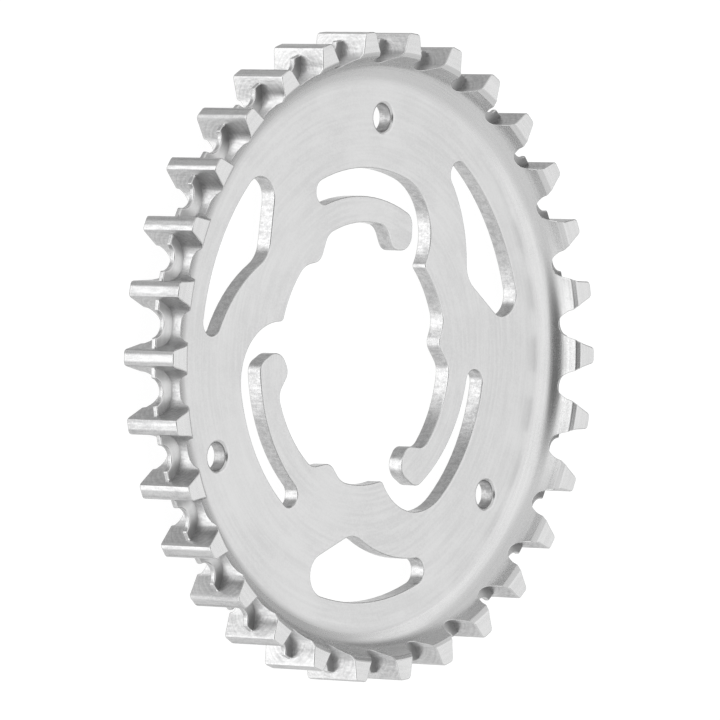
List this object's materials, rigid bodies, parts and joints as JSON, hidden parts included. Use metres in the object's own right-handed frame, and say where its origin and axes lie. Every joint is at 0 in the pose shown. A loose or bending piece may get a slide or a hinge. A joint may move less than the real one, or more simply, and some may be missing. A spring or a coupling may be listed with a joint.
{
  "type": "belt drive sprocket",
  "caption": "Dished sprocket for a toothed drive belt, with a thin scalloped fin across the tooth gaps and a hub opening with sprung hooked arms.",
  "frame": {"origin": "on the axis of rotation, in the plane of the rear tooth ends, on which the sprocket lies", "axes": "+Z along the axis of rotation, out of the dished front face; a hooked arm is centred near +Y"},
  "size_m": [0.1028, 0.1026, 0.0103],
  "materials": {
    "satin_steel": "satin, with faint turning marks"
  },
  "bodies": {
    "root": {"sprocket": "satin_steel"}
  },
  "joints": []
}
